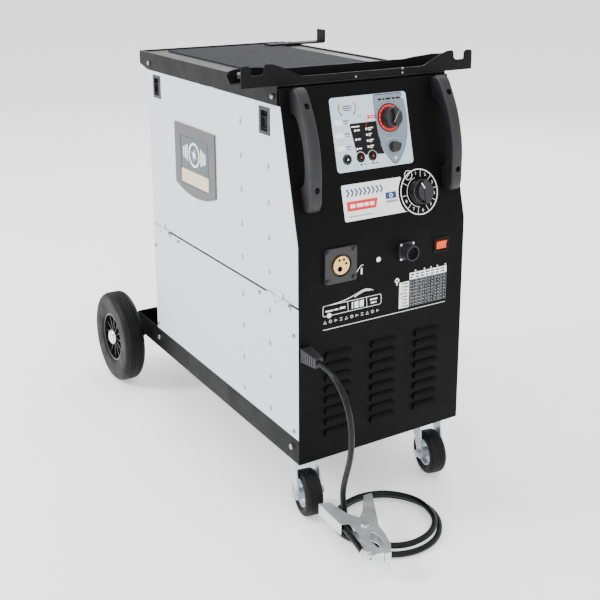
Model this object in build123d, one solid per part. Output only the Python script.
from build123d import *
import os
import math

# Semi-automatic MIG welding set on its own cart. Millimetres, +Z up.
# The front panel faces -Y, the wire door is on the -X side.
# The geometry is laid out with the lower front panel on y = 0 and the floor on z = 0,
# and the whole set is then moved along Y so that the origin is under its middle.

# ---------------------------------------------------------------- driving dimensions
HW = 170.0            # half width of the case
CASE_D = 592.0        # depth of the case, front panel to rear panel
Z_PAN = 112.0         # underside of the chassis pan
Z_RAIL = 156.0        # top of the pan's side flanges
Z_SEAM = 391.0        # seam between lower side panel and door
Z_BEND = 495.0        # bend line of the front panel
Z_SIDE = 714.0        # top of side panel and door
Z_TOP = 742.0         # top of the front panel
SLOPE_DY = 60.0       # how far the front panel leans back between bend and top
T = 2.0               # sheet of pan, front, rear, tray
TP = 1.5              # sheet of side panels and door
RW_R = 100.0          # rear wheel radius
RW_W = 46.0           # rear wheel width
RW_Y = 720.0          # rear axle
RW_X = 209.0          # middle plane of a rear wheel
RW_RIM = 54.0         # rim radius
AX_R = 8.0            # rear axle radius
CW_R = 40.0           # caster wheel radius
CW_W = 32.0           # caster wheel width
CW_X = 134.0          # caster swivel axis
CW_Y = 45.0
CW_TRAIL = 20.0       # caster trail
CW_YAW = (11.0, 10.0) # rest angle of the left and right caster
CABLE_R = 5.0         # ground cable radius
FIT = 0.08            # radial running clearance
COIL_C = (-44.0, -82.0)
COIL_RO, COIL_RI, COIL_H = 94.0, 72.0, 21.0
CLAMP_P = (-116.0, -117.0)   # clamp pivot
CLAMP_Z0, CLAMP_Z1 = 25.0, 47.0

os.makedirs("parts", exist_ok=True)
NODES = {}


def box(x0, x1, y0, y1, z0, z1):
    return Pos((x0 + x1) / 2, (y0 + y1) / 2, (z0 + z1) / 2) * Box(abs(x1 - x0), abs(y1 - y0), abs(z1 - z0))


def poly(pts):
    """Closed outline, always walked anticlockwise so that its face looks along +Z."""
    area = sum(a[0] * b[1] - b[0] * a[1] for a, b in zip(pts, pts[1:] + pts[:1]))
    return Polygon(*(pts if area > 0 else pts[::-1]), align=None)


def ex_x(pts, x0, x1):
    """Outline in Y,Z pushed from x0 to x1."""
    return extrude(Plane(origin=(x0, 0, 0), x_dir=(0, 1, 0), z_dir=(1, 0, 0)) * poly(pts), amount=x1 - x0)


def ex_y(pts, y0, y1):
    """Outline in X,Z pushed from y0 to y1."""
    return extrude(Plane(origin=(0, y1, 0), x_dir=(1, 0, 0), z_dir=(0, -1, 0)) * poly(pts), amount=y1 - y0)


def cx(y, z, x0, x1, r):
    return Plane(origin=(min(x0, x1), y, z), x_dir=(0, 1, 0), z_dir=(1, 0, 0)) * Cylinder(r, abs(x1 - x0), align=(Align.CENTER, Align.CENTER, Align.MIN))


def cy(x, z, y0, y1, r):
    return Plane(origin=(x, max(y0, y1), z), x_dir=(1, 0, 0), z_dir=(0, -1, 0)) * Cylinder(r, abs(y1 - y0), align=(Align.CENTER, Align.CENTER, Align.MIN))


def cz(x, y, z0, z1, r):
    return Pos(x, y, min(z0, z1)) * Cylinder(r, abs(z1 - z0), align=(Align.CENTER, Align.CENTER, Align.MIN))


SL_LEN = math.hypot(SLOPE_DY, Z_TOP - Z_BEND)
SY, SZ = SLOPE_DY / SL_LEN, (Z_TOP - Z_BEND) / SL_LEN
SLOPE = Plane(origin=(0, 0, Z_BEND), x_dir=(1, 0, 0), z_dir=(0, -SZ, SY))


def on_slope(x, s, h, shape):
    """Places a shape drawn about +Z on the leaning front: x across, s up the lean, h out."""
    return SLOPE * Pos(x, s, h) * shape


def sbox(x0, x1, s0, s1, h0, h1):
    return on_slope((x0 + x1) / 2, (s0 + s1) / 2, (h0 + h1) / 2, Box(x1 - x0, s1 - s0, h1 - h0))


def scyl(x, s, h0, h1, r):
    return on_slope(x, s, h0, Cylinder(r, h1 - h0, align=(Align.CENTER, Align.CENTER, Align.MIN)))


def y_front(z, off):
    return max(0.0, (z - Z_BEND)) * SLOPE_DY / (Z_TOP - Z_BEND) + off


def add(name, *shapes):
    NODES[name] = list(shapes)


# ---------------------------------------------------------------- chassis pan
flange = [(2.2, Z_PAN), (2.2, Z_RAIL), (703, Z_RAIL), (742, 126), (742, 88), (730, 82), (708, 82), (668, Z_PAN)]
pan = box(-HW, HW, 2.2, 703, Z_PAN, Z_PAN + T)
for sx in (-1, 1):
    x0, x1 = (-HW, -HW + T) if sx < 0 else (HW - T, HW)
    pan += ex_x(flange, x0, x1)
pan += box(-HW, HW, 701, 703, Z_PAN, Z_RAIL + 1)
pan -= cx(RW_Y, RW_R, -HW - 1, HW + 1, AX_R)
for x in (-100, -50, 0, 50, 100):
    pan -= box(x - 16, x + 16, 300, 306, Z_PAN - 1, Z_PAN + T + 1)
    pan -= box(x - 16, x + 16, 320, 326, Z_PAN - 1, Z_PAN + T + 1)
    pan -= box(x - 16, x + 16, 340, 346, Z_PAN - 1, Z_PAN + T + 1)
add("chassis_pan", pan)

# ---------------------------------------------------------------- rear axle, caps, wheels
axle = cx(RW_Y, RW_R, -226, 226, AX_R)
collars = [cx(RW_Y, RW_R, -186.5, -HW, 13) - cx(RW_Y, RW_R, -190, -HW + 1, AX_R),
           cx(RW_Y, RW_R, HW, 186.5, 13) - cx(RW_Y, RW_R, HW - 1, 190, AX_R)]

caps = []
for sx in (-1, 1):
    prof = make_face(Polyline((0, 0), (17.2, 0), (17.2, 2.6), (15.6, 5.6), (12.4, 7.8), (8.0, 9.2), (0, 9.8), close=True))
    cap = revolve(Plane.XZ * prof, axis=Axis.Z)
    cap = cap - Pos(0, 0, -1) * Cylinder(AX_R, 2.6, align=(Align.CENTER, Align.CENTER, Align.MIN))
    pl = Plane(origin=(sx * 224.4, RW_Y, RW_R), x_dir=(0, 1, 0), z_dir=(sx, 0, 0))
    caps.append(pl * cap)
add("rear_axle", axle, *collars, *caps)


def wheel_profile_tyre(ri, ro, hw, rc, grooves, gd, gw):
    """Half-section of a tyre: radius along X, width along Y."""
    pts = [(ri, -hw * 0.80), (ri + 5, -hw * 0.93), (ro - rc * 1.5, -hw)]
    n = 6
    for i in range(1, n + 1):
        a = -90 + 90 * i / n
        pts.append((ro - rc + rc * math.cos(math.radians(a)), -hw + rc + rc * math.sin(math.radians(a)) - 0.0))
    for g in grooves:
        pts += [(ro, g - gw), (ro - gd, g - gw * 0.5), (ro - gd, g + gw * 0.5), (ro, g + gw)]
    for i in range(0, n):
        a = 90 * i / n
        pts.append((ro - rc + rc * math.cos(math.radians(a)), hw - rc + rc * math.sin(math.radians(a))))
    pts += [(ro - rc * 1.5, hw), (ri + 5, hw * 0.93), (ri, hw * 0.80)]
    return make_face(Polyline(*pts, close=True))


def rear_wheel(sx):
    hw = RW_W / 2
    pl = Plane(origin=(sx * RW_X, RW_Y, RW_R), x_dir=(0, 1, 0), z_dir=(sx, 0, 0))
    tyre = revolve(Plane.XZ * wheel_profile_tyre(RW_RIM, RW_R, hw, 13, (-9, -3, 3, 9), 2.0, 1.5), axis=Axis.Z)
    ring = Cylinder(RW_RIM, 36) - Cylinder(RW_RIM - 4.5, 37)
    web = Cylinder(RW_RIM - 4.4, 3) - Cylinder(17.9, 4)
    hub = Pos(0, 0, -3.25) * Cylinder(18, 36.5)
    rim = ring + web + hub
    for i in range(12):
        rim += Rot(0, 0, 30 * i) * Pos(34, 0, 0) * Box(33.2, 3, 27)
    rim -= Cylinder(AX_R + FIT, 60)
    return pl * tyre, pl * rim


for side, sx in (("left", -1), ("right", 1)):
    ty, rm = rear_wheel(sx)
    add("wheel_rim_" + side, rm)
    add("wheel_tyre_" + side, ty)

# ---------------------------------------------------------------- casters
plates = []
for sx in (-1, 1):
    p = box(sx * CW_X - 34, sx * CW_X + 34, CW_Y - 38, CW_Y + 38, Z_PAN - 3, Z_PAN)
    p += cz(sx * CW_X, CW_Y, 103.6, 109, 24)
    p += cz(sx * CW_X, CW_Y, 94, 103.6, 6)
    p += cz(sx * CW_X, CW_Y, 91, 95, 9.5)
    plates.append(p)
add("caster_plates", *plates)


def caster(sx, yaw):
    """Local frame: swivel axis at the origin, wheel trails to -Y, wheel axle along X, then yawed."""
    w = CW_W / 2
    top = cz(0, 0, 99.6, 103.0, 23)
    top += box(-w - 6.4, w + 6.4, -19, 14, 99.6, 103.0)
    fork = top
    leg = [(14, 103.0), (14, 96), (4, 74), (-9, 47), (-11, 40), (-13, 33), (-20, 29), (-27, 32), (-30.5, 40), (-29, 52), (-23, 78), (-19, 96), (-19, 103.0)]
    for s in (-1, 1):
        x0, x1 = (-w - 6.4, -w - 3.9) if s < 0 else (w + 3.9, w + 6.4)
        fork += ex_x(leg, x0, x1)
    fork -= cz(0, 0, 98, 104, 6 + FIT)
    fork -= cx(-CW_TRAIL, CW_R, -40, 40, 4.0)
    bolt = cx(-CW_TRAIL, CW_R, -w - 13.5, w + 13.5, 4.0)
    nuts = []
    for s in (-1, 1):
        a, b = (-w - 12.0, -w - 6.4) if s < 0 else (w + 6.4, w + 12.0)
        hexa = RegularPolygon(7.5, 6, rotation=30)
        n = extrude(Plane(origin=(a, -CW_TRAIL, CW_R), x_dir=(0, 1, 0), z_dir=(1, 0, 0)) * hexa, amount=b - a)
        nuts.append(n - cx(-CW_TRAIL, CW_R, a - 1, b + 1, 4.0))
    c = Plane(origin=(0, -CW_TRAIL, CW_R), x_dir=(0, 1, 0), z_dir=(1, 0, 0))
    tyre = revolve(Plane.XZ * wheel_profile_tyre(24, CW_R, w, 7.5, (-5.5, 0, 5.5), 1.0, 1.1), axis=Axis.Z)
    rim = (Cylinder(24, 2 * w * 0.78) - Cylinder(21.5, 40)) + Cylinder(21.6, 13) + Cylinder(9.5, 2 * w + 5)
    rim -= Cylinder(4.0 + FIT, 60)
    place = Pos(sx * CW_X, CW_Y, 0) * Rot(0, 0, -yaw)
    return place * fork, place * bolt, [place * n for n in nuts], place * (c * tyre), place * (c * rim)


for side, sx, yaw in (("left", -1, CW_YAW[0]), ("right", 1, CW_YAW[1])):
    fk_, bo, nu, ty, rm = caster(sx, yaw)
    add("caster_fork_" + side, fk_, bo, *nu)
    add("caster_rim_" + side, rm)
    add("caster_tyre_" + side, ty)

# ---------------------------------------------------------------- front panel
def offset_slope(z, d):
    """y of the leaning sheet's inner face at height z, d mm behind the outer face."""
    return (z - Z_BEND) * SLOPE_DY / (Z_TOP - Z_BEND) + d / SZ


yb = T
zb_in = Z_BEND + (T - T / SZ) * (Z_TOP - Z_BEND) / SLOPE_DY
zt_in = Z_TOP - T
prof = [(0, Z_PAN), (0, Z_BEND), (SLOPE_DY, Z_TOP), (84, Z_TOP), (84, zt_in), (offset_slope(zt_in, T), zt_in), (T, zb_in), (T, Z_PAN)]
front = ex_x(prof, -HW, HW)

# pressed louvres, three columns of eight, hoods opening downwards
LV_W, LV_H, LV_D = 52.0, 12.0, 5.0
hoods = []
yz_out = [(0.0, LV_H), (-1.8, LV_H - 0.9), (-3.6, LV_H - 3.4), (-4.7, LV_H - 7.0), (-LV_D, 0.0), (0.0, 0.0)]
yz_in = [(0.6, LV_H - 2.0), (-1.0, LV_H - 2.9), (-2.4, LV_H - 5.0), (-3.5, LV_H - 8.2), (-3.8, -1.0), (0.6, -1.0)]
face_out = make_face(Polyline((0, 0), (LV_W, 0), (LV_W, 6), (LV_W - 2.2, 9.6), (LV_W - 7, 11.6), (LV_W - 12, LV_H), (12, LV_H), (7, 11.6), (2.2, 9.6), (0, 6), close=True))
face_in = make_face(Polyline((1.3, -1), (LV_W - 1.3, -1), (LV_W - 1.3, 5.4), (LV_W - 3.4, 8.6), (LV_W - 8, 10.4), (8, 10.4), (3.4, 8.6), (1.3, 5.4), close=True))
outer = ex_x(yz_out, 0, LV_W) & extrude(Plane(origin=(0, 1, 0), x_dir=(1, 0, 0), z_dir=(0, -1, 0)) * face_out, amount=8)
inner = ex_x(yz_in, 0, LV_W) & extrude(Plane(origin=(0, 1, 0), x_dir=(1, 0, 0), z_dir=(0, -1, 0)) * face_in, amount=8)
hood = outer - inner
slots = []
for x0 in (-120.0, -27.0, 66.0):
    for i in range(8):
        z0 = 294.5 - 20.1 * i
        slots.append(box(x0 + 1.6, x0 + LV_W - 1.6, -0.5, T + 0.5, z0 + 0.4, z0 + 8.0))
        hoods.append(Pos(x0, 0, z0) * hood)
front = front - slots
front = front + hoods

SOCK = (-92.0, 455.0)
REM = (43.0, 456.0)
ROCK = (120.0, 454.0)
GLAND = (-158.0, 312.0)
KNOB = (35.5, 190.0)
TRIM = (37.0, 140.5)
DIAL = (79.5, 58.2)
BTN = ((-58.5, 129.5), (-31.8, 130.0), (-8.0, 130.3))
front -= cy(SOCK[0], SOCK[1], -3, 5, 24.0)
front -= cy(REM[0], REM[1], -3, 5, 12.5)
front -= box(ROCK[0] - 13, ROCK[0] + 13, -3, 5, ROCK[1] - 11, ROCK[1] + 11)
front -= box(GLAND[0] - 7, GLAND[0] + 7, -3, 5, GLAND[1] - 9, GLAND[1] + 9)
front -= scyl(KNOB[0], KNOB[1], -4, 2, 4.0)
front -= scyl(TRIM[0], TRIM[1], -4, 2, 4.0)
front -= scyl(DIAL[0], DIAL[1], -4, 2, 6.0)
for b in BTN:
    front -= scyl(b[0], b[1], -4, 2, 6.6)
HX = 142.5
HS = (88.0, 221.3)
for sx in (-1, 1):
    for s in HS:
        front -= scyl(sx * HX, s, -4, 2, 2.6)
for sx in (-1, 1):
    front -= box(sx * 167.7, sx * 172, 63.8, 90, 700, 745)
add("front_panel", front)

# ---------------------------------------------------------------- rear panel
rear = box(-168, 168, CASE_D, CASE_D + T, Z_PAN + T, 744)
FAN = (60.0, 360.0)
for i in range(-6, 7):
    hwid = math.sqrt(max(0, 66 ** 2 - (i * 10) ** 2))
    if hwid > 12:
        rear -= box(FAN[0] - hwid, FAN[0] + hwid, CASE_D - 1, CASE_D + 3, FAN[1] + i * 10 - 3, FAN[1] + i * 10 + 3)
for x, z in ((-120, 300), (-120, 200)):
    rear -= cy(x, z, CASE_D - 1, CASE_D + 3, 9)
for i in range(6):
    rear -= box(-60, 60, CASE_D - 1, CASE_D + 3, 640 + i * 12, 645 + i * 12)
add("rear_panel", rear)

# ---------------------------------------------------------------- side panels and door
def dimples(pts, sx):
    out = []
    h, rr = 1.7, 7.2
    rs = (rr * rr + h * h) / (2 * h)
    for y, z in pts:
        c = Pos(sx * (HW - 0.5 + h - rs), y, z) * Sphere(rs)
        keep = box(-HW - 3, -HW + 0.6, y - 12, y + 12, z - 12, z + 12) if sx < 0 else box(HW - 0.6, HW + 3, y - 12, y + 12, z - 12, z + 12)
        out.append(c & keep)
    return out


COL_A = [(195, z) for z in (671, 611, 550, 489, 428)]
COL_B = [(99, z) for z in (610, 549, 488, 428)]
COL_A2 = [(195, z) for z in (359, 299, 238, 178)]
COL_B2 = [(99, z) for z in (359, 299, 238, 178)]

XO, XI = HW - 0.5, HW - 0.5 - TP
low = box(-XO, -XI, 2.4, CASE_D, Z_RAIL, Z_SEAM - 2)
low = low + dimples(COL_A2 + COL_B2, -1)
add("side_panel_left", low)

door = ex_x([(3.2, Z_SEAM + 2), (3.2, Z_BEND), (y_front(Z_SIDE, 3.2), Z_SIDE), (CASE_D - 1, Z_SIDE), (CASE_D - 1, Z_SEAM + 2)], -XO, -XI)
door = door + dimples(COL_A + COL_B, -1)
LATCH = ((107.5, 684.5), (546.5, 684.5))
for y, z in LATCH:
    door -= box(-XO - 1, -XI + 1, y - 15.5, y + 15.5, z - 20.5, z + 20.5)
BADGE = (289.0, 462.0, 494.0, 629.0)
# stiffening return along the inside of the door's top and rear edge
door += box(-XI, -XI + 4.5, 70, CASE_D - 14, Z_SIDE - 4, Z_SIDE - 2.5)
door += box(-XI, -XI + 4.5, CASE_D - 15.5, CASE_D - 14, Z_SEAM + 6, Z_SIDE - 4)
add("access_door", door)

right = ex_x([(2.4, Z_RAIL), (2.4, Z_BEND), (y_front(Z_SIDE, 2.4), Z_SIDE), (CASE_D, Z_SIDE), (CASE_D, Z_RAIL)], XI, XO)
for y, z in COL_A + COL_B + COL_A2 + COL_B2:
    right = right + Plane(origin=(XO, y, z), x_dir=(0, 1, 0), z_dir=(1, 0, 0)) * Cone(7.5, 4.5, 0.9, align=(Align.CENTER, Align.CENTER, Align.MIN))
for i in range(9):
    right -= box(XI - 1, XO + 1, 380, 500, 210 + 14 * i, 215 + 14 * i)
add("side_panel_right", right)

# ---------------------------------------------------------------- door hinges
HG_X, HG_Z, HG_R, PIN_R = -172.6, Z_SEAM, 3.4, 1.6
fixed, moving = [], []
for y0 in (26.0, 505.0):
    segs = ((0, 24), (24.4, 49.6), (50, 74))
    f = None
    for a, b in (segs[0], segs[2]):
        k = cy(HG_X, HG_Z, y0 + a, y0 + b, HG_R)
        k += box(HG_X - 2.6, -XO, y0 + a, y0 + b, HG_Z - 12, HG_Z - 2.1) & box(-XO - 1.4, -XO, y0 + a, y0 + b, HG_Z - 20, HG_Z)
        k += box(HG_X, -XO, y0 + a, y0 + b, HG_Z - 3.4, HG_Z - 2.0)
        f = k if f is None else f + k
    f += cy(HG_X, HG_Z, y0, y0 + 74, PIN_R)
    fixed.append(f)
    a, b = segs[1]
    m = cy(HG_X, HG_Z, y0 + a, y0 + b, HG_R) + box(-XO - 1.4, -XO, y0 + a, y0 + b, HG_Z + 2.0, HG_Z + 12)
    m += box(HG_X, -XO, y0 + a, y0 + b, HG_Z + 2.0, HG_Z + 3.4)
    m -= cy(HG_X, HG_Z, y0 + a - 1, y0 + b + 1, PIN_R + FIT)
    moving.append(m)
add("hinge_leaves_fixed", *fixed)
add("hinge_leaves_door", *moving)

# ---------------------------------------------------------------- door latches
bezels = []
sliders = []
for (y, z), nm in zip(LATCH, ("front", "rear")):
    b = box(-XO - 1.2, -XO, y - 18, y + 18, z - 23, z + 23) + box(-XO, -XI + 5, y - 15.2, y + 15.2, z - 20.2, z + 20.2)
    b -= box(-XO - 2, -XI + 3.6, y - 11, y + 11, z - 17, z + 17)
    b -= box(-XI + 3, -XI + 6, y - 5, y + 5, z - 13, z + 13)
    bezels.append(b)
    s = box(-XO + 0.6, -XI + 3.2, y - 9.5, y + 9.5, z - 15.5, z + 7.5)
    s -= box(-XO, -XI + 1.0, y - 7, y + 7, z - 11, z + 4)
    s += box(-XI + 3.2, -XI + 9, y - 4, y + 4, z - 9, z + 3)
    s += box(-XI + 6, -XI + 9, y - 7, y + 7, z - 11, z + 19)
    sliders.append((nm, s))
add("latch_bezels", *bezels)
for nm, s in sliders:
    add("latch_slider_" + nm, s)

# ---------------------------------------------------------------- door badge
y0, y1, z0, z1 = BADGE
b2 = Plane(origin=(-XO, 0, 0), x_dir=(0, -1, 0), z_dir=(-1, 0, 0))
u0, u1 = -y1, -y0
outline = Wire([Line((u0, z0 + 16), (u0, z1)), Line((u0, z1), (u1, z1)), Line((u1, z1), (u1, z0 + 16)), ThreePointArc((u1, z0 + 16), ((u0 + u1) / 2, z0), (u0, z0 + 16))])
sk = make_face(outline.edges())
bd = extrude(b2 * sk, amount=3.0)
bd -= extrude(Plane(origin=(-XO - 3.0, 0, 0), x_dir=(0, -1, 0), z_dir=(-1, 0, 0)) * (Pos(-(y0 + y1) / 2, (z0 + z1) / 2) * RectangleRounded(y1 - y0 - 52, z1 - z0 - 40, 6)), amount=-0.8)
add("door_badge", bd)

# ---------------------------------------------------------------- top tray and mat
TRAY_Y0, TRAY_Y1 = 66.0, 630.0
Z_TRAY = 746.0
tray = box(-HW, HW, TRAY_Y0, TRAY_Y1, Z_TRAY - T, Z_TRAY)
skirt = [(TRAY_Y0, Z_TRAY), (TRAY_Y1, Z_TRAY), (TRAY_Y1, 727), (TRAY_Y1 - 5, 722), (CASE_D + 4, 715), (TRAY_Y0 - 1, 715)]
tray += ex_x(skirt, -HW, -HW + T)
tray += ex_x(skirt, HW - T, HW)
tray += box(-HW, HW, TRAY_Y1 - T, TRAY_Y1, 722, Z_TRAY)
tray += box(-HW, -HW + 4, 122, TRAY_Y1, Z_TRAY, Z_TRAY + 3)
tray += box(HW - 4, HW, 122, TRAY_Y1, Z_TRAY, Z_TRAY + 3)
tray += box(-HW, HW, TRAY_Y1 - 4, TRAY_Y1, Z_TRAY, Z_TRAY + 3)
add("top_tray", tray)
mat = Pos(0, (124 + 600) / 2, Z_TRAY + 1.5) * extrude(RectangleRounded(244, 600 - 124, 8), amount=3, both=False)
mat = Pos(0, 0, -1.5) * mat
add("tray_mat", mat)

# ---------------------------------------------------------------- cable hook bar over the front edge
HB = 232.0
HBY0, HBY1 = 68.0, 120.0
HBZ = 746.0
hb = [(-HB, HBZ), (-HB, 777), (-HB + 3, 780.5), (-HB + 13, 780.5), (-HB + 17, 777), (-215 + 1, 764.5), (-196, 764.5), (-191, 768), (-190, 778), (-187, 781.5),
      (-177, 781), (-160, 775.5), (-143, 767), (-122, 758)]
hb_r = [(-x, z) for x, z in reversed(hb)]
frontplate = ex_y(hb + hb_r, HBY0, HBY0 + 3)
webplate = box(-HB + 10, HB - 10, HBY0 + 3, HBY1 - 3, HBZ, HBZ + 3)
rp = [(-HB, 752), (-HB, 760), (-HB + 4, 767), (-HB + 14, 770), (-HB + 50, 771), (-140, 768), (-120, 765.5)]
rp_r = [(-x, z) for x, z in reversed(rp)]
rearplate = ex_y([(-HB + 6, HBZ)] + rp[1:] + rp_r[:-1] + [(HB - 6, HBZ)], HBY1 - 3, HBY1)
bar = frontplate + webplate + rearplate
for sx in (-1, 1):
    bar -= box(sx * 208 - 5, sx * 208 + 5, HBY1 - 4, HBY1 + 1, 755, 765)
add("cable_hook_bar", bar)

# ---------------------------------------------------------------- rear cable hook, one strip with an upturned end
rh = ex_y([(96, 749), (96, 752.6), (228.4, 752.6), (228.4, 776), (230.2, 777.8), (232, 776), (232, 752), (229, 749)], 552, 582)
rh += box(124, 160, 552, 582, Z_TRAY, 749.5)
add("rear_cable_hook", rh)

# ---------------------------------------------------------------- grab handles on the leaning front
def grab(sx):
    o = [(56, 0), (53.5, 8), (54.5, 17), (61, 24.5), (80, 31), (112, 39), (154, 43), (198, 39), (230, 31), (246.5, 24.5), (252.2, 18), (253, 8), (251, 0)]
    i = [(214, 0), (211, 9), (203, 15.5), (188, 20.5), (154, 24.5), (120, 20.5), (105, 15.5), (98, 9), (95, 0)]
    outl = Spline(*[(a, b) for a, b in o])
    inl = Spline(*[(a, b) for a, b in i])
    wire = Wire([outl, Line(o[-1], i[0]), inl, Line(i[-1], o[0])])
    pl = Plane(origin=SLOPE.origin + SLOPE.x_dir * (sx * HX - 11), x_dir=SLOPE.y_dir, z_dir=SLOPE.x_dir)
    body = extrude(pl * make_face(wire.edges()), amount=22)
    try:
        es = [e for e in body.edges() if e.length > 150]
        body = fillet(es, 5.5)
    except Exception:
        pass
    for s in HS:
        body -= scyl(sx * HX, s, 18, 60, 4.9)
        body -= scyl(sx * HX, s, -1, 20, 2.7)
    return body


add("handle_left", grab(-1))
add("handle_right", grab(1))

# ---------------------------------------------------------------- controls
def knob(r0, r1, h, shaft, ridge=True, flutes=0):
    b = Cone(r0, r1, h, align=(Align.CENTER, Align.CENTER, Align.MIN))
    b = fillet(b.edges().filter_by(GeomType.CIRCLE).sort_by(Axis.Z)[-1], min(1.6, r1 * 0.2))
    for i in range(flutes):
        b -= Rot(0, 0, 360 / flutes * i) * Pos(r0 + 0.7, 0, h * 0.5 + 2) * Cylinder(1.5, h)
    b += Pos(0, 0, -shaft) * Cylinder(3.0, shaft + 1, align=(Align.CENTER, Align.CENTER, Align.MIN))
    return b


sk1 = knob(18.5, 16.5, 15, 14)
sk1 += Pos(0, 0, 14.4) * Box(6.5, 27, 6, align=(Align.CENTER, Align.CENTER, Align.MIN))
add("speed_knob", on_slope(KNOB[0], KNOB[1], 1.6, sk1))
sk2 = knob(9.5, 8.5, 10, 12)
sk2 += Pos(6.5, 2.5, 5.0) * Box(9, 6, 4.8)
add("trim_knob", on_slope(TRIM[0], TRIM[1], 1.6, sk2))
sk3 = knob(22.5, 21.0, 12, 16)
sk3 += Pos(0, 0, 11.4) * Cylinder(16, 8, align=(Align.CENTER, Align.CENTER, Align.MIN))
sk3 += Pos(0, 0, 11.4) * Box(9, 40, 9, align=(Align.CENTER, Align.CENTER, Align.MIN))
add("voltage_knob", on_slope(DIAL[0], DIAL[1], 1.2, sk3))
for b, nm in zip(BTN, ("left", "middle", "right")):
    k = Pos(0, 0, -10) * Cylinder(6.2, 13.2, align=(Align.CENTER, Align.CENTER, Align.MIN))
    k = fillet(k.edges().filter_by(GeomType.CIRCLE).sort_by(Axis.Z)[-1], 0.8)
    k += Pos(0, 0, -11.5) * Cylinder(7.6, 1.5, align=(Align.CENTER, Align.CENTER, Align.MIN))
    add("mode_button_" + nm, on_slope(b[0], b[1], 0, k))

bez = box(ROCK[0] - 16, ROCK[0] + 16, -1.6, 0, ROCK[1] - 14, ROCK[1] + 14) + box(ROCK[0] - 12.8, ROCK[0] + 12.8, 0, 16, ROCK[1] - 10.8, ROCK[1] + 10.8)
bez -= box(ROCK[0] - 11.2, ROCK[0] + 11.2, -3, 14, ROCK[1] - 9.4, ROCK[1] + 9.4)
add("switch_bezel", bez)
rk = ex_x([(-3.4, 7.0), (-1.2, 1.2), (-1.0, -1.5), (-1.6, -7.0), (3.2, -7.0), (7, -3), (7, 3), (3.2, 7.0)], -10.6, 10.6)
rk += cx(6, 0, -11.0, 11.0, 1.2)
add("power_rocker", Pos(ROCK[0], 0, ROCK[1]) * rk)

rs = extrude(Plane(origin=(REM[0], 0, REM[1]), x_dir=(1, 0, 0), z_dir=(0, -1, 0)) * RectangleRounded(31, 31, 3), amount=3)
rs += cy(REM[0], REM[1], -21, -3, 13.2)
rs += cy(REM[0], REM[1], 0, 22, 12.3)
rs -= cy(REM[0], REM[1], -22, -7, 11.4)
for i in range(9):
    a = 2 * math.pi * i / 9
    rs += cy(REM[0] + 7 * math.cos(a), REM[1] + 7 * math.sin(a), -15, -6.9, 1.0)
rs += cy(REM[0], REM[1], -15, -6.9, 1.0)
for sx_ in (-1, 1):
    for sz_ in (-1, 1):
        rs -= cy(REM[0] + 12.6 * sx_, REM[1] + 12.6 * sz_, -4, 1, 1.6)
add("remote_socket", rs)

fl = extrude(Plane(origin=(SOCK[0], 0, SOCK[1]), x_dir=(1, 0, 0), z_dir=(0, -1, 0)) * RectangleRounded(62, 60, 5), amount=5)
fl += cy(SOCK[0], SOCK[1], 0, 8, 23.6)
fl -= cy(SOCK[0], SOCK[1], -6, -1.5, 20.0)
fl -= cy(SOCK[0], SOCK[1], -2, 9, 15.8)
fl -= cy(SOCK[0], SOCK[1], 3, 9, 20.0)
for sx_ in (-1, 1):
    for sz_ in (-1, 1):
        fl -= cy(SOCK[0] + 25.5 * sx_, SOCK[1] + 24.5 * sz_, -6, 6, 2.2)
add("torch_socket_flange", fl)
bb = cy(SOCK[0], SOCK[1], -6, 5, 15.6)
bb += cy(SOCK[0], SOCK[1], 3.2, 44, 19.8)
bb += cy(SOCK[0], SOCK[1], 8.2, 14, 26)
for px, pz in ((-4.2, 9.0), (4.6, 9.2), (9.0, 2.2)):
    bb -= cy(SOCK[0] + px, SOCK[1] + pz, -8, 16, 2.3)
bb -= cy(SOCK[0] - 3.1, SOCK[1] - 6.0, -8, 44.1, 4.7)
add("torch_socket_body", bb)

# ---------------------------------------------------------------- ground cable gland: square block with ribs
g = box(GLAND[0] - 10, GLAND[0] + 10, -4, 0, GLAND[1] - 12, GLAND[1] + 12)
g += box(GLAND[0] - 6.8, GLAND[0] + 6.8, 0, 7, GLAND[1] - 8.8, GLAND[1] + 8.8)
prev = None
for i in range(7):
    ya, yb_ = -4 - 5.2 * i, -4 - 5.2 * i - 3.4
    w = 9.6 - 0.35 * i
    h = 11.4 - 0.45 * i
    g += box(GLAND[0] - w, GLAND[0] + w, yb_, ya, GLAND[1] - h, GLAND[1] + h)
    if i < 6:
        g += box(GLAND[0] - w + 1.5, GLAND[0] + w - 1.5, ya - 5.2, yb_, GLAND[1] - h + 1.5, GLAND[1] + h - 1.5)
g += box(GLAND[0] - 7, GLAND[0] + 7, -42, -38.6, GLAND[1] - 8, GLAND[1] + 8)
add("cable_gland", g)

# ---------------------------------------------------------------- ground cable
def tube(points, r, label):
    pts = [Vector(*p) for p in points]
    rad = []
    for a, b, c in zip(pts, pts[1:], pts[2:]):
        u, v = (b - a), (c - b)
        turn = u.get_angle(v)
        rad.append(0.45 * min(u.length, v.length) / math.tan(math.radians(turn) / 2))
    path = FilletPolyline(*pts, radius=rad)
    d = (pts[1] - pts[0]).normalized()
    sec = Plane(origin=pts[0], z_dir=d) * Circle(r)
    t = sweep(sec, path=path)
    ln = sum(e.length for e in path.edges())
    print(label, "radii", [round(x, 1) for x in rad], "length", round(ln, 1), "volume/ideal", round(t.volume / (math.pi * r * r * ln), 4))
    return t


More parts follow.
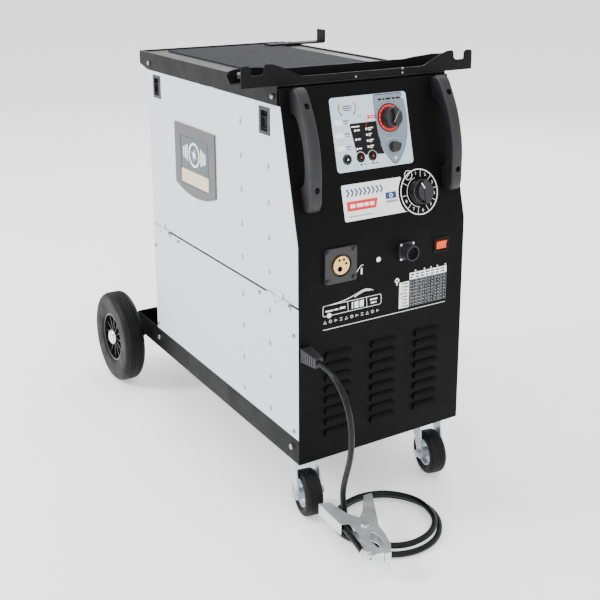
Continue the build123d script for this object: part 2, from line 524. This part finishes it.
DROP = [(-158, -42, 312), (-158, -68, 312), (-159, -94, 304), (-158, -114, 286), (-154.5, -124, 260), (-149.5, -124, 229), (-144, -117, 197),
        (-138.5, -105, 166), (-132.5, -89, 136), (-126.5, -72, 106), (-121, -58.5, 77), (-118, -56.5, 47), (-119, -70.5, 21), (-122, -96, 7), (-122.5, -121, 6.3)]
JAW_A = math.radians(258.0)   # direction of the clamp's jaws seen from above
LU = (math.cos(JAW_A), math.sin(JAW_A))
LV = (-math.sin(JAW_A), math.cos(JAW_A))


def clamp_pt(u, v, z):
    return (CLAMP_P[0] + u * LU[0] + v * LV[0], CLAMP_P[1] + u * LU[1] + v * LV[1], z)


TAIL = [(-93, -14, 13), (-114, -29, 21), (-130, -50, 30), (-139, -80, 35), clamp_pt(2, -28, 36), clamp_pt(28, -26.5, 36), clamp_pt(54, -26.5, 36)]
dr = tube(DROP, CABLE_R, "drop")
tl = tube(TAIL, CABLE_R, "tail")
add("ground_cable", dr, tl)
coil = cz(COIL_C[0], COIL_C[1], 0, COIL_H, COIL_RO) - cz(COIL_C[0], COIL_C[1], -1, COIL_H + 1, COIL_RI)
coil = fillet(coil.edges().filter_by(GeomType.CIRCLE), 4.5)
add("ground_cable_coil", coil)

# ---------------------------------------------------------------- ground clamp lying on the coil
# local frame: origin at the pivot, u towards the jaws, v to the right, w up
CL = Plane(origin=(CLAMP_P[0], CLAMP_P[1], 0), x_dir=(LU[0], LU[1], 0), z_dir=(0, 0, 1))


def cl_plate(pts, z0, z1):
    return CL * extrude(Pos(0, 0, z0) * poly(pts), amount=z1 - z0)


def cl_cyl(u, v, z0, z1, r):
    return CL * Pos(u, v, z0) * Cylinder(r, z1 - z0, align=(Align.CENTER, Align.CENTER, Align.MIN))


# v is measured to the left of u here (Plane y direction); the fixed handle is on the cable side
zt0, zt1 = CLAMP_Z1 - 1.6, CLAMP_Z1
zb0, zb1 = CLAMP_Z0, CLAMP_Z0 + 1.6
lo_out = [(-82, -50), (-80, -31), (-40, -16), (-18, 2), (-8, 13), (6, 12), (20, 3), (32, -6), (48, -9), (64, -6), (74, -1), (80, -1), (80, -12), (82, -22), (80, -31), (60, -31), (56, -18), (30, -19), (8, -21), (-12, -24), (-14, -38)]
lo_out_b = [(-16, -20), (-18, 2), (-8, 13), (6, 12), (20, 3), (32, -6), (48, -9), (64, -6), (74, -1), (80, -1), (80, -12), (60, -18), (34, -19), (10, -20)]
lower = cl_plate(lo_out, zt0, zt1) + cl_plate(lo_out_b, zb0, zb1)
lower += cl_plate([(-82, -50), (-14, -38), (-13.7, -36.1), (-81.7, -48)], CLAMP_Z0 + 2, zt1)
lower += cl_plate([(66, -16.4), (80, -12), (80, -1), (78.2, -1), (78.2, -10.7), (66, -14.4)], zb0, zt1)
lower -= cl_cyl(0, 0, 20, 50, 4.1)
up_out = [(-86, 49), (-84, 33), (-40, 12), (-20, -3), (-8, -10), (6, -9), (16, 2), (30, 10), (46, 11), (62, 5), (70, 0.6), (80, 0.6), (80, 11), (60, 19), (30, 22), (8, 21), (-14, 28)]
zi0, zi1 = CLAMP_Z0 + 2.1, CLAMP_Z1 - 2.1
upper = cl_plate(up_out, zi1 - 1.6, zi1) + cl_plate(up_out, zi0, zi0 + 1.6)
upper += cl_plate([(-86, 49), (-14, 28), (-14.4, 26.2), (-85.6, 47.2)], zi0, zi1)
upper += cl_plate([(66, 16.4), (80, 11), (80, 0.6), (78.2, 0.6), (78.2, 9.6), (66, 14.4)], zi0, zi1)
upper -= cl_cyl(0, 0, 20, 50, 4.1 + FIT)
add("clamp_lower_jaw", lower)
add("clamp_upper_jaw", upper)
piv = cl_cyl(0, 0, CLAMP_Z0 - 0.6, CLAMP_Z1 + 0.2, 4.1) + cl_cyl(0, 0, CLAMP_Z1, CLAMP_Z1 + 2.6, 6.6) + cl_cyl(0, 0, CLAMP_Z0 - 1.4, CLAMP_Z0, 6.0)
piv += cl_cyl(0, 0, 30, 42, 8.0)
lug = CL * (Plane(origin=(54, -26.5, 36), x_dir=(0, 1, 0), z_dir=(1, 0, 0)) * Cylinder(5.0, 9, align=(Align.CENTER, Align.CENTER, Align.MIN)))
lug += CL * Pos(62, -25.5, 40.5) * Box(3.5, 10, zt0 * 2 - 81)
lug += CL * Pos(70.5, -25, zt0 - 0.9) * Box(19, 11, 1.8)
lug += cl_cyl(71, -25, zt0 - 6.5, zt0 - 1.7, 5.0)
bolt = cl_cyl(71, -25, zt1, zt1 + 4.5, 5.6)
add("clamp_hardware", piv, lug, bolt)

# ---------------------------------------------------------------- screws
scr = []
for y in (24, 581):
    for sx in (-1, 1):
        scr.append(cx(y, 137, sx * HW, sx * (HW + 2.6), 5.0))
for y in (79.4, 581):
    for sx in (-1, 1):
        scr.append(cx(y, 728, sx * HW, sx * (HW + 2.6), 4.4))
for y, z in ((582.6, 344), (467.4, 383), (131.2, 381), (16.7, 341), (582.8, 168.6), (17.0, 168.6)):
    scr.append(cx(y, z, -XO, -XO - 1.8, 3.6))
for y, z in ((582.6, 344), (16.7, 341), (582.8, 168.6), (17.0, 168.6), (582.6, 690), (120, 690)):
    scr.append(cx(y, z, XO, XO + 1.8, 3.6))
for x in (-150, 150):
    for z in (140, 400, 690):
        scr.append(cy(x, z, CASE_D + T, CASE_D + T + 2.0, 3.6))
for sx in (-1, 1):
    for s in HS:
        sc = scyl(sx * HX, s, 18, 21.4, 4.2) + scyl(sx * HX, s, -6, 18.1, 2.5)
        scr.append(sc)
for sx_ in (-1, 1):
    for sz_ in (-1, 1):
        scr.append(cy(SOCK[0] + 25.5 * sx_, SOCK[1] + 24.5 * sz_, -7.2, -5, 3.6) + cy(SOCK[0] + 25.5 * sx_, SOCK[1] + 24.5 * sz_, -5.1, 0, 2.1))
        scr.append(cy(REM[0] + 12.6 * sx_, REM[1] + 12.6 * sz_, -4.4, -3, 2.5) + cy(REM[0] + 12.6 * sx_, REM[1] + 12.6 * sz_, -3.1, 0, 1.5))
for x, z in ((-18, 750), (78, 757.5), (78, 750)):
    scr.append(cy(x, z, HBY0 - 1.2, HBY0, 1.9))
for x in (126, 150):
    scr.append(cz(x, 567, 752.6, 754.8, 4.0))
add("fasteners", *scr)

# ---------------------------------------------------------------- inside: divider and wire side
add("divider_wall", box(-20, -18, 4, 588, Z_PAN + T, 742) - box(-21, -17, 0, 86, 495, 745) - cx(560, 200, -30, 0, 14))
SP = (430.0, 560.0)
hub = cx(SP[0], SP[1], -96, -20, 25.0) - cx(SP[0], SP[1], -97, -30, 20)
hub += cx(SP[0], SP[1], -22.5, -20, 34)
hub += cx(SP[0], SP[1], -93, -86, 31.0)
add("spool_hub", hub)
spool = cx(SP[0], SP[1], -84, -81, 99) + cx(SP[0], SP[1], -29, -26, 99) + cx(SP[0], SP[1], -84, -26, 76)
spool -= cx(SP[0], SP[1], -90, -20, 25.0 + FIT)
for i in range(3):
    a = math.radians(90 + 120 * i)
    spool -= cx(SP[0] + 50 * math.cos(a), SP[1] + 50 * math.sin(a), -90, -20, 12)
add("wire_spool", spool)
FR = (165.0, 440.0)
fu = box(-80, -76, 105, 225, 412, 505) - cx(FR[0], FR[1], -81, -75, 9)
fu += cx(FR[0], FR[1], -76, -20, 30)
fu += cx(FR[0], FR[1], -99, -76, 4.0) + cx(FR[0], FR[1], -102, -99, 6.5)
fu += cx(207, 482, -99, -76, 4.0)
fu += box(-98, -80, 118, 132, 446, 462) - cy(-92, 456, 110, 140, 1.5)
fu += box(-98, -80, 200, 216, 446, 462) - cy(-92, 456, 190, 230, 1.5)
add("feed_unit", fu)
dr_ = cx(FR[0], FR[1], -97, -87, 15.6) - cx(FR[0], FR[1], -100, -80, 4.0 + FIT)
add("drive_roll", dr_)
PR = (165.0, 469.0)
arm = ex_x([(116, 476), (116, 490), (200, 492), (214, 490), (214, 474), (200, 472), (178, 476), (165, 463), (152, 476)], -86, -81)
arm += cx(PR[0], PR[1], -98, -84, 3.0)
arm -= cx(207, 482, -100, -70, 4.0 + FIT)
arm += cz(-83.5, 124, 490, 512, 2.0) + cz(-83.5, 124, 510, 524, 5.5)
add("pressure_arm", arm)
pr_ = cx(PR[0], PR[1], -97, -87, 12.0) - cx(PR[0], PR[1], -100, -80, 3.0 + FIT)
add("pinch_roll", pr_)

# ---------------------------------------------------------------- inside: power side
tc = box(0, 140, 150, 330, 130, 290) - box(-1, 141, 180, 222, 158, 262) - box(-1, 141, 258, 300, 158, 262)
tf = box(10, 130, 160, 176, Z_PAN + T, 130) + box(10, 130, 304, 320, Z_PAN + T, 130)
wind = box(-14, 154, 182, 298, 160, 260) - box(-0.6, 140.6, 221.4, 258.6, 150, 270)
wind = fillet(wind.edges().filter_by(Axis.Z), 5)
add("transformer", tc, wind, *[s for s in tf.solids()])
hs = box(20, 130, 400, 520, Z_PAN + T, 122)
for i in range(12):
    hs += box(22 + i * 9.2, 25 + i * 9.2, 400, 520, 121.9, 160)
caps_ = [cz(45 + 32 * i, 370, Z_PAN + T, 190, 14) for i in range(3)]
add("rectifier", hs, *caps_)
FF0, FF1 = 552.0, CASE_D
ff = box(FAN[0] - 75, FAN[0] + 75, FF0, FF1, FAN[1] - 75, FAN[1] + 75) - cy(FAN[0], FAN[1], FF0 - 1, FF1 + 1, 70)
for a in (0, 90, 180, 270):
    ff += Plane(origin=(FAN[0], FF1 - 3, FAN[1]), x_dir=(1, 0, 0), z_dir=(0, -1, 0)) * Rot(0, 0, a + 45) * Pos(45, 0, 0) * Box(58, 6, 3)
ff += cy(FAN[0], FAN[1], FF1 - 12, FF1 - 1.5, 24)
ff += cy(FAN[0], FAN[1], FF0 + 2, FF1 - 12, 3.0)
add("fan_frame", ff)
fb = cy(FAN[0], FAN[1], FF0 + 4, FF1 - 13, 22) - cy(FAN[0], FAN[1], FF0, FF1, 3.0 + FIT)
bl = Plane(origin=(FAN[0], (FF0 + FF1) / 2 - 5, FAN[1]), x_dir=(1, 0, 0), z_dir=(0, -1, 0))
for i in range(7):
    fb += bl * Rot(0, 0, 360 / 7 * i) * Pos(43, 0, 0) * Rot(32, 0, 0) * Box(48, 30, 2)
fb = fb - cy(FAN[0], FAN[1], FF0, FF1, 3.0 + FIT)
add("fan_blades", fb)
pcb = sbox(-75, 60, 112, 236, -24, -22.4)
for x, s, w_, l_, h_ in ((-50, 200, 26, 14, 4), (-10, 205, 12, 12, 5), (30, 215, 18, 10, 6), (-55, 165, 16, 16, 3)):
    pcb += sbox(x - w_ / 2, x + w_ / 2, s - l_ / 2, s + l_ / 2, -22.5, -22.4 + h_)
for sx in (-70, 55):
    for s in (118, 230):
        pcb += scyl(sx, s, -22.5, -T, 2.5)
add("control_board", pcb)

# ---------------------------------------------------------------- move to the middle of the footprint and write
CORD = {"ground_cable", "ground_cable_coil", "clamp_lower_jaw", "clamp_upper_jaw", "clamp_hardware", "cable_gland"}
lo_y, hi_y = 1e9, -1e9
for name, shapes in NODES.items():
    if name in CORD:
        continue
    for s in shapes:
        b = s.bounding_box()
        lo_y, hi_y = min(lo_y, b.min.Y), max(hi_y, b.max.Y)
YC = (lo_y + hi_y) / 2
print("YC", round(YC, 4), "nodes", len(NODES))
for name, shapes in NODES.items():
    solids = []
    for s in shapes:
        solids += (Pos(0, -YC, 0) * s).solids()
    export_step(solids[0] if len(solids) == 1 else Compound(children=solids), "parts/" + name + ".step")
